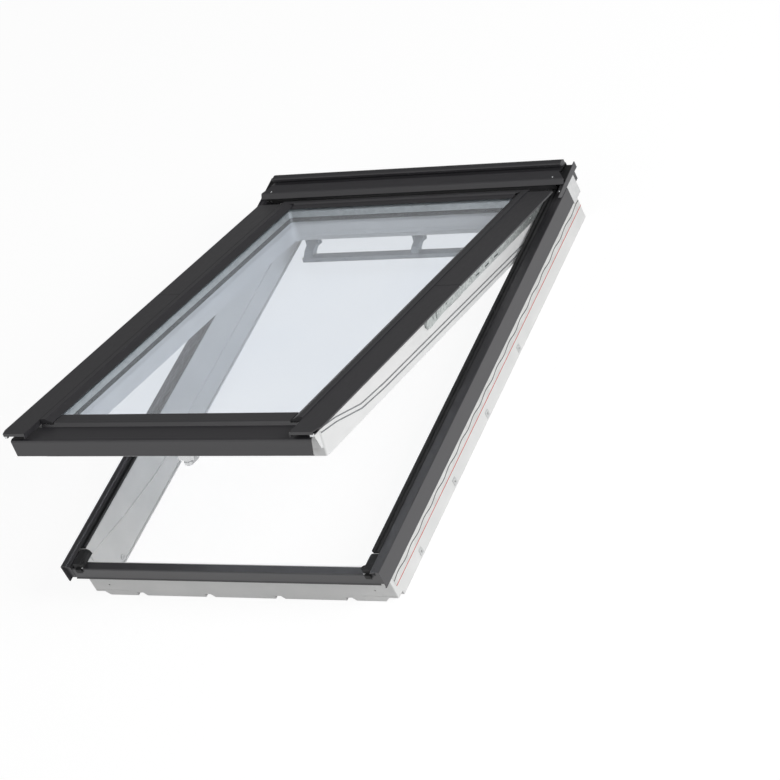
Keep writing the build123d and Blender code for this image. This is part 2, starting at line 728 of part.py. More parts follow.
def bottom_cover():
    """Bottom glazing cover and apron, one folded sheet."""
    glass_top = GLASS_Z0 + 2 * PANE_T + CAVITY
    path = [
        (SIGHT_LOW_Y - 0.5, glass_top + SEAT_GAP + SHEET + 0.2),
        (SIGHT_LOW_Y - 34.0, glass_top + SEAT_GAP + SHEET + 0.8),
        (SIGHT_LOW_Y - 36.0, glass_top + 1.0),
        (SIGHT_LOW_Y - 40.0, 127.8),
        (APRON_Y + 6.0, 126.8),
        (APRON_Y + 1.0, 124.5),
        (APRON_Y, 121.0),
        (APRON_Y, APRON_LOW + 2),
        (APRON_Y + 4.0, APRON_LOW),
    ]
    middle = polygon_x(folded(path[::-1], SHEET), -BEAD_X, BEAD_X)
    ends = path[3:]
    apron = polygon_x(folded(ends[::-1], SHEET), -APRON_HALF, APRON_HALF)
    # Tapered ends of the apron
    for sign in (1, -1):
        apron -= polygon_y([
            (sign * (APRON_HALF + 1), 122.0),
            (sign * APRON_HALF, 122.0),
            (sign * (APRON_HALF - 6), APRON_LOW - 1),
            (sign * (APRON_HALF + 1), APRON_LOW - 1),
        ], APRON_Y - 2, APRON_Y + 12)
    cover = middle + apron
    for sign in (1, -1):
        cover -= block(sign * (SIGHT_X - 2.5), sign * (BEAD_X + 0.3),
                       SIGHT_LOW_Y - 37.5, SIGHT_LOW_Y + 1, 130.0, 150.0)
    return cover


def top_cover():
    """Cover over the top rail of the sash, under the hood."""
    glass_top = GLASS_Z0 + 2 * PANE_T + CAVITY
    path = [
        (SIGHT_HIGH_Y + 0.5, glass_top + SEAT_GAP + SHEET + 0.2),
        (SIGHT_HIGH_Y + 16.0, glass_top + SEAT_GAP + SHEET + 3.0),
        (SIGHT_HIGH_Y + 19.0, 143.0),
        (SASH_HIGH_Y + 0.5, 143.0),
        (SASH_HIGH_Y + 2.0, 141.5),
        (SASH_HIGH_Y + 2.0, 112.0),
    ]
    cover = polygon_x(folded(path, SHEET), -BEAD_X, BEAD_X)
    for sign in (1, -1):
        cover -= block(sign * (SIGHT_X - 2.5), sign * (BEAD_X + 1),
                       SIGHT_HIGH_Y - 1, SIGHT_HIGH_Y + 18.5, 130.0, 150.0)
    return cover


def side_seals():
    """Seals pressed into the right side of the sash."""
    return [polygon_x(seal_line(rise, 0.9), SASH_X - 2.2, SASH_X + 1.6)
            for rise in (-5.0, 5.0)]


def pivot_shoe():
    """Right pivot shoe, a round boss fixed to the wall of the sash pocket."""
    shoe = rod_x(POCKET_X + SEAT_GAP, SASH_X - 1, PIVOT_Y, PIVOT_Z, 11.0)
    return shoe - rod_x(POCKET_X - 1, SASH_X + 1, PIVOT_Y, PIVOT_Z,
                        PIVOT_PIN_R + PIN_FIT)


def handle_base():
    """Base plate of the handle under the bottom rail."""
    z1 = SASH_Z0 - SEAT_GAP
    base = slab(-HANDLE_HALF, HANDLE_HALF, HANDLE_Y - 11, HANDLE_Y + 13, z1 - 12, z1, 8)
    return base - rod_z(z1 - 13, z1 + 1, 0, HANDLE_Y, 5.0 + PIN_FIT)


def handle_lever():
    """Turning handle: spindle, neck and rounded grip."""
    z1 = SASH_Z0 - SEAT_GAP - 12
    spindle = rod_z(z1 - 6, z1 + 8, 0, HANDLE_Y, 5.0)
    boss = rod_z(z1 - 6, z1 - 0.4, 0, HANDLE_Y, 9.0)
    grip = slab(-10, 10, HANDLE_Y - 10.5, HANDLE_Y + 32, z1 - 12, z1 - 5.5, 9.5)
    grip += slab(-7, 7, HANDLE_Y - 7.5, HANDLE_Y + 29, z1 - 15, z1 - 11, 6.5)
    return spindle + boss + grip


def vent_bar():
    """Ventilation bar with three curved brackets."""
    y0 = VENT_BAR_Y
    z0 = VENT_BAR_Z
    bar = slab(-VENT_HALF + 2, VENT_HALF + 6, y0 - 13, y0 + 14, z0 - 5, z0 + 5, 4)
    for x, half in VENT_BRACKETS:
        bracket = polygon_x([
            (y0 - 8, z0 + 2),
            (y0 + 4, z0 + 16),
            (y0 + 22, z0 + 25),
            (VENT_AXIS_Y - 3, VENT_AXIS_Z + 6),
            (VENT_AXIS_Y + 5, VENT_AXIS_Z + 3),
            (VENT_AXIS_Y + 5, VENT_AXIS_Z - 5),
            (y0 + 24, z0 + 12),
            (y0 + 9, z0 - 2),
        ], x - half, x + half)
        bar += bracket
        bar += rod_x(x - half, x + half, VENT_AXIS_Y, VENT_AXIS_Z, 7.0)
        bar -= rod_x(x - half - 1, x + half + 1, VENT_AXIS_Y, VENT_AXIS_Z,
                     3.0 + PIN_FIT)
    return bar


def vent_hangers():
    """Sash hangers with the pins that carry the ventilation bar."""
    hangers = []
    for x, half in VENT_BRACKETS:
        left = block(x - half - 6, x - half - 1, VENT_AXIS_Y - 7, VENT_AXIS_Y + 7,
                     VENT_AXIS_Z - 6, SASH_Z0 - SEAT_GAP)
        right = block(x + half + 1, x + half + 6, VENT_AXIS_Y - 7, VENT_AXIS_Y + 7,
                      VENT_AXIS_Z - 6, SASH_Z0 - SEAT_GAP)
        pin = rod_x(x - half - 4, x + half + 4, VENT_AXIS_Y, VENT_AXIS_Z, 3.0)
        hangers.append(left + right + pin)
    return group(hangers)


def vent_flap():
    """Ventilation flap closing the slot in the top rail."""
    body = polygon_x([
        (SASH_IN_HIGH_Y - 3.8, 61.0),
        (SASH_IN_HIGH_Y - 0.4, 58.0),
        (SASH_IN_HIGH_Y - 0.4, 70.0),
        (SASH_IN_HIGH_Y - 2.0, 71.0),
    ], -VENT_HALF, VENT_HALF)
    return body


def write_parts():
    """Build every node and write it."""
    os.makedirs("parts", exist_ok=True)
    fixed = {
        "outer_frame": outer_frame(),
        "frame_cover_right": frame_cover(),
        "frame_cover_left": other_side(frame_cover()),
        "frame_bottom_cover": frame_bottom_cover(),
        "frame_gasket_right": frame_gasket(),
        "frame_gasket_left": other_side(frame_gasket()),
        "corner_block_right": corner_block(),
        "corner_block_left": other_side(corner_block()),
        "hood_casing": hood_casing(),
        "hood_bead": hood_bead(),
        "hood_end_right": hood_end(),
        "hood_end_left": other_side(hood_end()),
        "hood_screws": hood_screws(),
        "hood_foam_right": hood_foam(),
        "hood_foam_left": other_side(hood_foam()),
        "flange_end_right": flange_end(),
        "flange_end_left": other_side(flange_end()),
        "side_strip_right": side_strip(),
        "side_strip_left": other_side(side_strip()),
        "fixing_hooks": fixing_hooks(),
        "hinge_bracket_right": hinge_bracket(),
        "hinge_bracket_left": other_side(hinge_bracket()),
        "keep_plate": keep_plate(),
        "bolt_bush": bolt_bush(),
    }
    moving = {
        "arm_right": arm(),
        "arm_left": other_side(arm()),
        "upper_cover_right": upper_cover(),
        "upper_cover_left": other_side(upper_cover()),
        "sash_frame": sash_frame(),
        "outer_pane": pane(GLASS_Z0 + PANE_T + CAVITY),
        "inner_pane": pane(GLASS_Z0),
        "glass_spacer": glass_spacer(),
        "glass_gasket": glass_gasket(),
        "glazing_bead_right": glazing_bead(),
        "glazing_bead_left": other_side(glazing_bead()),
        "bottom_cover": bottom_cover(),
        "top_cover": top_cover(),
        "lower_cover_right": lower_cover(),
        "lower_cover_left": other_side(lower_cover()),
        "nose_caps": group([nose_cap(), other_side(nose_cap())]),
        "side_seals_right": group(side_seals()),
        "side_seals_left": group([other_side(seal) for seal in side_seals()]),
        "pivot_shoe_right": pivot_shoe(),
        "pivot_shoe_left": other_side(pivot_shoe()),
        "handle_base": handle_base(),
        "handle_lever": handle_lever(),
        "vent_bar": vent_bar(),
        "vent_hangers": vent_hangers(),
        "vent_flap": vent_flap(),
    }
    for name, shape in fixed.items():
        save(name, shape)
    for name, shape in moving.items():
        save(name, open_up(shape))


write_parts()
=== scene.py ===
import math

import bpy
from mathutils import Matrix, Vector


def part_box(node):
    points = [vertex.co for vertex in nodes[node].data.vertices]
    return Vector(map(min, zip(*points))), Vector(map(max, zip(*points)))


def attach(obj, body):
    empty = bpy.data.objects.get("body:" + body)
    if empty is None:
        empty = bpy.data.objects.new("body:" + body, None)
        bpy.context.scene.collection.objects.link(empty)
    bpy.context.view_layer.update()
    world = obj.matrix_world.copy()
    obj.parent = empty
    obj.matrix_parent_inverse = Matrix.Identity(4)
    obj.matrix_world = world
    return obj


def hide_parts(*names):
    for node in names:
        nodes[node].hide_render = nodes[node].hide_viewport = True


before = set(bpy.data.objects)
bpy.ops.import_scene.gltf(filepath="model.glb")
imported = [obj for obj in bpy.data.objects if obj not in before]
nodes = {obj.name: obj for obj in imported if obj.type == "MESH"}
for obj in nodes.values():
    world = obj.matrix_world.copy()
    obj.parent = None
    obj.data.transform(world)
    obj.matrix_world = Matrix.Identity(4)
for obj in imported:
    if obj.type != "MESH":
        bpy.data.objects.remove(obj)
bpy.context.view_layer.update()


# Outer frame
# One white polyurethane moulding around a core, lacquered to a low satin. The
# lacquer has a fine orange peel, and a little dust greys its broad faces.
def add(tree, kind, inputs=None, **settings):
    """Add one shader node, with its plain input values and settings."""
    made = tree.nodes.new(kind)
    for key, value in settings.items():
        setattr(made, key, value)
    for key, value in (inputs or {}).items():
        made.inputs[key].default_value = value
    return made


def join(tree, source, output, target, socket):
    """Link one node's output to another node's input."""
    tree.links.new(source.outputs[output], target.inputs[socket])


def place_pattern(tree, stretch=(1.0, 1.0, 1.0)):
    """Object coordinates, stretched along each axis."""
    place = add(tree, "ShaderNodeTexCoord")
    mapping = add(tree, "ShaderNodeMapping", {"Scale": stretch})
    join(tree, place, "Object", mapping, "Vector")
    return mapping


def two_tones(tree, pattern, output, dark, pale):
    """Colour ramp that runs from a dark tone to a pale one over a pattern."""
    ramp = add(tree, "ShaderNodeValToRGB")
    for element, position, tone in zip(ramp.color_ramp.elements, (0.35, 0.65), (dark, pale)):
        element.position = position
        element.color = (*tone, 1.0)
    join(tree, pattern, output, ramp, "Fac")
    return ramp


def finish(name, dark, pale, patch, roughness, grain, depth, metallic=0.0,
           stretch=(1.0, 1.0, 1.0), gloss=0.5):
    """Material with soft patches of two tones and a fine grained surface.

    patch and grain are sizes in metres, depth is the height of the grain.
    """
    made = bpy.data.materials.new(name)
    made.use_nodes = True
    tree = made.node_tree
    shader = tree.nodes["Principled BSDF"]
    shader.inputs["Metallic"].default_value = metallic
    shader.inputs["Specular IOR Level"].default_value = gloss
    mapping = place_pattern(tree, stretch)
    broad = add(tree, "ShaderNodeTexNoise", {"Scale": 1.0 / patch, "Detail": 4.0})
    join(tree, mapping, "Vector", broad, "Vector")
    tones = two_tones(tree, broad, "Fac", dark, pale)
    join(tree, tones, "Color", shader, "Base Color")
    shine = add(tree, "ShaderNodeMapRange",
                {"From Min": 0.3, "From Max": 0.7,
                 "To Min": roughness[0], "To Max": roughness[1]})
    join(tree, broad, "Fac", shine, "Value")
    join(tree, shine, "Result", shader, "Roughness")
    fine = add(tree, "ShaderNodeTexNoise", {"Scale": 1.0 / grain, "Detail": 2.0})
    join(tree, mapping, "Vector", fine, "Vector")
    bump = add(tree, "ShaderNodeBump", {"Strength": 0.6, "Distance": depth})
    join(tree, fine, "Fac", bump, "Height")
    join(tree, bump, "Normal", shader, "Normal")
    return made


def dress(material, *names):
    """Give CAD nodes a material."""
    for name in names:
        for slot in nodes[name].material_slots:
            slot.material = material


white_lacquer = finish("white_lacquer", (0.76, 0.765, 0.76), (0.82, 0.82, 0.815),
                       patch=0.09, roughness=(0.34, 0.46), grain=0.0009, depth=0.00006)
dress(white_lacquer, "outer_frame")


# Side lining strips
# Pale foam strips stuck along both outer walls, printed with a thin wavy
# glue line and a red edge line that shows where the lining starts.
def calculate(tree, operation, first, second=0.0):
    """Output of one Math node that works on sockets or plain numbers."""
    made = add(tree, "ShaderNodeMath", operation=operation)
    for socket, value in zip(made.inputs, (first, second)):
        if isinstance(value, float):
            socket.default_value = value
        else:
            tree.links.new(value, socket)
    return made.outputs[0]


def axes_of(tree):
    """Object coordinates, split into their three axes."""
    place = add(tree, "ShaderNodeTexCoord")
    axes = add(tree, "ShaderNodeSeparateXYZ")
    join(tree, place, "Object", axes, "Vector")
    return axes


def band(tree, height, low, high):
    """1 between two heights of the part and 0 elsewhere."""
    above = calculate(tree, "GREATER_THAN", height, low)
    below = calculate(tree, "LESS_THAN", height, high)
    return calculate(tree, "MULTIPLY", above, below)


def over(tree, below, share, colour):
    """Lay one plain colour over another where share is 1."""
    mix = add(tree, "ShaderNodeMix", data_type="RGBA")
    tree.links.new(share, mix.inputs["Factor"])
    tree.links.new(below, mix.inputs["A"])
    mix.inputs["B"].default_value = (*colour, 1.0)
    return mix.outputs["Result"]


wave_length, wave_rise = 0.075, 0.0021
glue_low, glue_high = 0.0508, 0.0533
red_low, red_high = 0.0358, 0.0380
glue_ink = (0.02, 0.023, 0.026)
red_ink = (0.60, 0.06, 0.04)
lining = finish("lining_strip", (0.70, 0.70, 0.69), (0.80, 0.80, 0.79),
                patch=0.02, roughness=(0.6, 0.75), grain=0.0012, depth=0.0001)
strip_tree = lining.node_tree
strip_colour = strip_tree.nodes["Principled BSDF"].inputs["Base Color"]
strip_axes = axes_of(strip_tree)
turn = calculate(strip_tree, "MULTIPLY", strip_axes.outputs["Y"], 2 * math.pi / wave_length)
rise = calculate(strip_tree, "MULTIPLY", calculate(strip_tree, "SINE", turn), wave_rise)
waved_height = calculate(strip_tree, "ADD", strip_axes.outputs["Z"], rise)
glue_line = band(strip_tree, waved_height, glue_low, glue_high)
red_line = band(strip_tree, strip_axes.outputs["Z"], red_low, red_high)
plain = strip_colour.links[0].from_socket
marked = over(strip_tree, plain, glue_line, glue_ink)
marked = over(strip_tree, marked, red_line, red_ink)
strip_tree.links.new(marked, strip_colour)
dress(lining, "side_strip_right", "side_strip_left")


# Side fixing plates
# Small pressed steel plates, powder coated a pale grey. Four sit on each outer
# wall below the lining strip, each with a hole for a screw into the roof.
powder_coat = finish("powder_coat", (0.60, 0.61, 0.61), (0.66, 0.67, 0.67),
                     patch=0.01, roughness=(0.35, 0.45), grain=0.0005, depth=0.00004)
dress(powder_coat, "fixing_hooks")


# Frame and sash cladding
# Folded sheet laid over the walls and the sash, with a dark grey baked paint,
# matt with a fine texture. The rolled direction shows as faint streaks.
def baked_paint(name, stretch):
    """Dark paint with its streaks along one axis."""
    return finish(name, (0.029, 0.028, 0.032), (0.035, 0.034, 0.038),
                  patch=0.03, roughness=(0.34, 0.44), grain=0.0007, depth=0.000012,
                  stretch=stretch, gloss=0.85)


dress(baked_paint("dark_paint", (6.0, 0.6, 6.0)),
      "frame_cover_right", "frame_cover_left", "upper_cover_right",
      "upper_cover_left", "lower_cover_right", "lower_cover_left",
      "glazing_bead_right", "glazing_bead_left", "hood_end_right", "hood_end_left")
dress(baked_paint("dark_paint_across", (0.6, 6.0, 6.0)),
      "frame_bottom_cover", "hood_casing", "hood_bead", "bottom_cover", "top_cover")


# Gaskets, corner blocks and seals
# Black extruded rubber along the walls and around the glass, dull, with a trace
# of talc. The black foam in the hood ends is painted shade: the channel floor
# behind each end plate is made black to stand in for the deep shade there. The
# two seals pressed into each side of the sash are a grey grade of the rubber.
black_rubber = finish("black_rubber", (0.010, 0.010, 0.011), (0.018, 0.018, 0.019),
                      patch=0.02, roughness=(0.55, 0.75), grain=0.0006, depth=0.00006)
# The hood foam takes the black rubber as painted shade of the deep channel in the hood ends.
dress(black_rubber, "frame_gasket_right", "frame_gasket_left", "corner_block_right",
      "corner_block_left", "glass_gasket", "hood_foam_right", "hood_foam_left")
grey_rubber = finish("grey_rubber", (0.22, 0.23, 0.24), (0.30, 0.31, 0.32),
                     patch=0.02, roughness=(0.55, 0.7), grain=0.0006, depth=0.00006)
dress(grey_rubber, "side_seals_right", "side_seals_left")


# Feet of the corner blocks
# A tongue of the same rubber folds from each corner block over the front edge
# of the bottom cladding and is held there by its own grip.
def start_sheet(name, low, high, height):
    """Flat rectangle at a height, the start of a folded strip."""
    bpy.ops.object.select_all(action="DESELECT")
    bpy.ops.mesh.primitive_plane_add(size=1.0, location=(0.0, 0.0, 0.0))
    made = bpy.context.object
    made.name = name
    made.scale = (high[0] - low[0], high[1] - low[1], 1.0)
    made.location = ((low[0] + high[0]) / 2, (low[1] + high[1]) / 2, height)
    bpy.ops.object.transform_apply(location=True, rotation=True, scale=True)
    return made


def pick_points(piece, wanted):
    """Select the points of a mesh that a test accepts, and open it for editing."""
    bpy.ops.object.mode_set(mode="EDIT")
    bpy.ops.mesh.select_mode(type="VERT")
    bpy.ops.mesh.select_all(action="DESELECT")
    bpy.ops.object.mode_set(mode="OBJECT")
    for point in piece.data.vertices:
        point.select = wanted(point.co)
    bpy.ops.object.mode_set(mode="EDIT")


def draw_out(*steps):
    """Extrude what is selected by each step in turn."""
    for step in steps:
        bpy.ops.mesh.extrude_region_move(TRANSFORM_OT_translate={"value": step})


def fasten(piece, material, body):
    """Finish a new piece: smooth faces, material and body."""
    bpy.ops.object.mode_set(mode="OBJECT")
    bpy.ops.object.select_all(action="DESELECT")
    piece.select_set(True)
    bpy.context.view_layer.objects.active = piece
    bpy.ops.object.shade_smooth_by_angle(angle=0.6)
    piece.data.materials.clear()
    piece.data.materials.append(material)
    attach(piece, body)


def modify(piece, kind, **settings):
    """Add one modifier and apply it."""
    bpy.context.view_layer.objects.active = piece
    change = piece.modifiers.new(kind, kind)
    for key, value in settings.items():
        setattr(change, key, value)
    bpy.ops.object.modifier_apply(modifier=change.name)


cover_low, cover_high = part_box("frame_bottom_cover")
block_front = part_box("corner_block_right")[0][1]
foot_inner, foot_outer = 0.3625, 0.3780
foot_clear = 0.0008
foot_top = cover_high[2] + foot_clear
foot_front = cover_low[1] - foot_clear
foot_leg = (0.0, 0.0, -0.0095)
foot_toe = (0.0, 0.0009, -0.0015)
foot_sheet = 0.0012
for side, name in ((1, "corner_foot_right"), (-1, "corner_foot_left")):
    edges = sorted((side * foot_inner, side * foot_outer))
    foot = start_sheet(name, (edges[0], foot_front), (edges[1], block_front + 0.001),
                       foot_top)
    pick_points(foot, lambda place: place.y < foot_front + 0.0005)
    draw_out(foot_leg, foot_toe)
    bpy.ops.object.mode_set(mode="OBJECT")
    modify(foot, "SOLIDIFY", thickness=foot_sheet, offset=0.0)
    modify(foot, "BEVEL", width=0.0004, segments=2)
    fasten(foot, black_rubber, "frame")


# Head seal
# A black foam bar stuck along the inside of the head wall, under the hood. A
# thin fin along its top closes against the underside of the hood.
def start_block(name, low, high):
    """Block between two corners."""
    bpy.ops.object.select_all(action="DESELECT")
    bpy.ops.mesh.primitive_cube_add(size=1.0, location=(0.0, 0.0, 0.0))
    made = bpy.context.object
    made.name = name
    made.scale = [end - start for start, end in zip(low, high)]
    made.location = [(start + end) / 2 for start, end in zip(low, high)]
    bpy.ops.object.transform_apply(location=True, rotation=True, scale=True)
    return made


head_half, head_face_y, head_wall_y = 0.3640, 0.5704, 0.5769
head_bottom, head_top, shoulder = 0.0940, 0.1240, 0.004
head_seal = start_block("head_seal", (-head_half, head_face_y, head_bottom),
                        (head_half, head_wall_y, head_top))
pick_points(head_seal, lambda place: place.z > head_top - shoulder)
draw_out((0.0, 0.0, shoulder))
bpy.ops.transform.resize(value=(1.0, 0.35, 1.0),
                         center_override=(0.0, head_wall_y, head_top + shoulder))
draw_out((0.0, -0.004, 0.012))
bpy.ops.object.mode_set(mode="OBJECT")
modify(head_seal, "BEVEL", width=0.0012, segments=3, limit_method="ANGLE")
fasten(head_seal, black_rubber, "frame")


# Hood lip seal
# A second black foam strip is stuck behind the folded lip of the hood, right
# across the window, and closes the slot above the arms.
lip_half, lip_front_y, lip_back_y = 0.3850, 0.5463, 0.5493
lip_bottom, lip_top = 0.1400, 0.1455
lip_seal = start_block("hood_lip_seal", (-lip_half, lip_front_y, lip_bottom),
                       (lip_half, lip_back_y, lip_top))
pick_points(lip_seal, lambda place: place.z < lip_bottom + 0.001)
draw_out((0.0, 0.0008, -0.0050), (0.0, -0.0010, -0.0040))
bpy.ops.object.mode_set(mode="OBJECT")
modify(lip_seal, "BEVEL", width=0.0006, segments=2, limit_method="ANGLE")
fasten(lip_seal, black_rubber, "frame")


# Arms, hinge brackets and keep
# Galvanised steel sheet. Brackets on the walls carry the arms on pins. The zinc
# has frozen into flat spangles a few millimetres across, each a slightly
# different grey.
galvanised = finish("galvanised", (0.40, 0.43, 0.43), (0.60, 0.63, 0.62),
                    patch=0.05, roughness=(0.34, 0.46), grain=0.0010, depth=0.00003,
                    metallic=0.75)
zinc_tree = galvanised.node_tree
zinc_colour = zinc_tree.nodes["Principled BSDF"].inputs["Base Color"]
zinc_tones = zinc_colour.links[0].from_node
zinc_tones.color_ramp.elements[0].position = 0.2
zinc_tones.color_ramp.elements[1].position = 0.8
spangle = add(zinc_tree, "ShaderNodeTexVoronoi", {"Scale": 260.0})
join(zinc_tree, place_pattern(zinc_tree), "Vector", spangle, "Vector")
join(zinc_tree, spangle, "Color", zinc_tones, "Fac")
dress(galvanised, "arm_right", "arm_left", "hinge_bracket_right",
      "hinge_bracket_left", "keep_plate")


# Sash
# The same white moulding as the frame, hung between the lifting arms. It is a
# shade cleaner because it is handled and wiped from the room side.
sash_lacquer = finish("sash_lacquer", (0.77, 0.775, 0.775), (0.82, 0.82, 0.82),
                      patch=0.12, roughness=(0.32, 0.42), grain=0.0009, depth=0.00005)
dress(sash_lacquer, "sash_frame")


# Sealed glass unit
# Two clear float panes with a faint cool tint from the coating, around a grey
# metal edge spacer. Lamp light passes straight through, a little dimmed.
glass = bpy.data.materials.new("clear_glass")
glass.use_nodes = True
glass_tree = glass.node_tree
glass_shader = glass_tree.nodes["Principled BSDF"]
glass_shader.inputs["Transmission Weight"].default_value = 1.0
glass_shader.inputs["IOR"].default_value = 1.25
glass_shader.inputs["Roughness"].default_value = 0.0
glass_patch = add(glass_tree, "ShaderNodeTexNoise", {"Scale": 3.0, "Detail": 1.0})
join(glass_tree, place_pattern(glass_tree), "Vector", glass_patch, "Vector")
glass_tones = two_tones(glass_tree, glass_patch, "Fac", (0.900, 0.923, 0.952),
                        (0.913, 0.933, 0.957))
join(glass_tree, glass_tones, "Color", glass_shader, "Base Color")
light_path = add(glass_tree, "ShaderNodeLightPath")
clear = add(glass_tree, "ShaderNodeBsdfTransparent", {"Color": (0.79, 0.805, 0.825, 1.0)})
lit_through = add(glass_tree, "ShaderNodeMixShader")
join(glass_tree, light_path, "Is Shadow Ray", lit_through, 0)
join(glass_tree, glass_shader, "BSDF", lit_through, 1)
join(glass_tree, clear, "BSDF", lit_through, 2)
join(glass_tree, lit_through, "Shader", glass_tree.nodes["Material Output"], "Surface")
dress(glass, "outer_pane", "inner_pane")
spacer_metal = finish("spacer_metal", (0.36, 0.39, 0.40), (0.46, 0.49, 0.50),
                      patch=0.01, roughness=(0.35, 0.5), grain=0.0008, depth=0.00004,
                      metallic=0.6)
dress(spacer_metal, "glass_spacer")


# Pivot shoes, nose caps, handle and screws
# Dark glass-filled nylon shoes in the sash pockets, and bright plated caps,
# handle and screws. The domed screw heads have a sunk socket.
dark_nylon = finish("dark_nylon", (0.045, 0.045, 0.048), (0.06, 0.06, 0.064),
                    patch=0.01, roughness=(0.45, 0.6), grain=0.0005, depth=0.00004)
dress(dark_nylon, "pivot_shoe_right", "pivot_shoe_left")
bright_plate = finish("bright_plate", (0.66, 0.67, 0.68), (0.78, 0.79, 0.80),
                      patch=0.004, roughness=(0.22, 0.34), grain=0.0004, depth=0.00002,
                      metallic=0.9)
dress(bright_plate, "hood_screws", "nose_caps", "handle_base", "handle_lever")
round_sides = 32


def screw_head(place, radius, height):
    """Round screw head standing on a point, with a socket in its top."""
    bpy.ops.object.select_all(action="DESELECT")
    bpy.ops.mesh.primitive_cylinder_add(vertices=round_sides, radius=radius,
                                        depth=height, location=(0.0, 0.0, height / 2))
    made = bpy.context.object
    bpy.ops.object.transform_apply(location=True, rotation=True, scale=True)
    modify(made, "BEVEL", width=height * 0.4, segments=4, limit_method="ANGLE")
    pick_points(made, lambda at: at.z > height * 0.98)
    bpy.ops.mesh.inset(thickness=radius * 0.22, depth=0.0)
    draw_out((0.0, 0.0, -height * 0.5))
    bpy.ops.object.mode_set(mode="OBJECT")
    made.location = place
    bpy.ops.object.transform_apply(location=True, rotation=True, scale=True)
    return made


def join_pieces(name, pieces):
    """Join like pieces into one object."""
    bpy.ops.object.select_all(action="DESELECT")
    for piece in pieces:
        piece.select_set(True)
    bpy.context.view_layer.objects.active = pieces[0]
    bpy.ops.object.join()
    pieces[0].name = name
    return pieces[0]


screw_low, screw_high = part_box("hood_screws")
screw_radius, screw_rise = 0.0022, 0.0014
top_screw_x, end_screw_x = 0.381, screw_high[0] - screw_radius
screws = []
for side in (1, -1):
    top_place = (side * top_screw_x, screw_high[1] - screw_radius,
                 screw_high[2] - screw_rise)
    end_place = (side * end_screw_x, screw_low[1] + screw_radius, screw_low[2])
    screws.append(screw_head(top_place, screw_radius, screw_rise))
    screws.append(screw_head(end_place, screw_radius, screw_rise))
hood_screw_heads = join_pieces("hood_screw_heads", screws)
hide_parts("hood_screws")
fasten(hood_screw_heads, bright_plate, "frame")
corner_radius, corner_rise = 0.0026, 0.0016
corner_x, corner_y = 0.3610, cover_low[1] + 0.0045
corner_z = foot_top + foot_sheet / 2
corner_screws = [screw_head((side * corner_x, corner_y, corner_z), corner_radius,
                            corner_rise) for side in (1, -1)]
fasten(join_pieces("corner_screw_heads", corner_screws), bright_plate, "frame")


# Rivets and catches of the lifting arms
# Low zinc-coated rivet heads along the outside of both arms, and at each tail a
# bent spring catch that holds the sash to the arm. All are set while the arms
# are flat and then lifted with them.
hinge_line = Vector((0.0, 0.55275, 0.110))
rest_angle = math.radians(17.0)
rivet_x, rivet_z, rivet_radius, rivet_rise = 0.3658, 0.1090, 0.0035, 0.0016
rivet_places = (-0.055, 0.010, 0.130, 0.310, 0.430)
catch_low, catch_high, catch_z = (0.3656, -0.0440), (0.3664, -0.0360), 0.1000
catch_bends = ((0.0, 0.008), (0.003, 0.006), (0.007, 0.004), (0.004, 0.007))


def lift(piece):
    """Swing a piece made closed to its open rest position."""
    turned = Matrix.Rotation(-rest_angle, 4, "X")
    move = Matrix.Translation(hinge_line)
    piece.matrix_world = move @ turned @ move.inverted() @ piece.matrix_world
    bpy.ops.object.select_all(action="DESELECT")
    piece.select_set(True)
    bpy.context.view_layer.objects.active = piece
    bpy.ops.object.transform_apply(location=True, rotation=True, scale=True)


def rivet_head(side, along):
    """Domed head standing out from the outer face of one arm."""
    bpy.ops.object.select_all(action="DESELECT")
    bpy.ops.mesh.primitive_cylinder_add(
        vertices=round_sides, radius=rivet_radius, depth=rivet_rise,
        location=(side * rivet_x, along, rivet_z),
        rotation=(0.0, side * math.pi / 2, 0.0))
    made = bpy.context.object
    bpy.ops.object.transform_apply(location=True, rotation=True, scale=True)
    modify(made, "BEVEL", width=0.0007, segments=4, limit_method="ANGLE")
    return made


def spring_catch(side):
    """Strip bent out from the arm tail and back to the sash."""
    catch = start_sheet("catch", (side * catch_low[0], catch_low[1]),
                        (side * catch_high[0], catch_high[1]), catch_z)
    pick_points(catch, lambda place: True)
    draw_out(*[(0.0, along, up) for along, up in catch_bends])
    bpy.ops.mesh.select_all(action="SELECT")
    bpy.ops.mesh.normals_make_consistent(inside=False)
    bpy.ops.object.mode_set(mode="OBJECT")
    return catch


for side, name in ((1, "right"), (-1, "left")):
    fittings = [rivet_head(side, along) for along in rivet_places]
    fittings.append(spring_catch(side))
    arm_fittings = join_pieces("arm_fittings_" + name, fittings)
    lift(arm_fittings)
    fasten(arm_fittings, galvanised, "lifting_arms")


# Bush, flange ends, flap and hangers
# Small nylon mouldings pushed or clipped into place: white for the bush, the
# flange ends and the ventilation flap, grey for the hangers of its bar.
white_nylon = finish("white_nylon", (0.70, 0.71, 0.71), (0.78, 0.78, 0.78),
                     patch=0.01, roughness=(0.4, 0.5), grain=0.0005, depth=0.00003)
dress(white_nylon, "bolt_bush", "vent_flap", "flange_end_right", "flange_end_left")
grey_nylon = finish("grey_nylon", (0.30, 0.32, 0.34), (0.36, 0.38, 0.40),
                    patch=0.01, roughness=(0.4, 0.5), grain=0.0005, depth=0.00003)
dress(grey_nylon, "vent_hangers")


# Ventilation bar
# An extruded aluminium bar, anodised grey, with fine lines along it. Three
# brackets of the same hang it under the top rail of the sash.
anodised = finish("anodised_bar", (0.24, 0.26, 0.28), (0.30, 0.32, 0.34),
                  patch=0.02, roughness=(0.3, 0.4), grain=0.0006, depth=0.00002,
                  metallic=0.5, stretch=(0.3, 8.0, 8.0))
dress(anodised, "vent_bar")


# Floor, lamps and camera
# A plain pale floor that is white to the camera but keeps a soft shadow, one
# large soft lamp on the right, a weaker one in front, and a pale world that is
# dimmer behind the window. The camera stands where the photograph's did.
def grey(level):
    """Neutral tone of a given brightness."""
    return (level, level, level, 1.0)


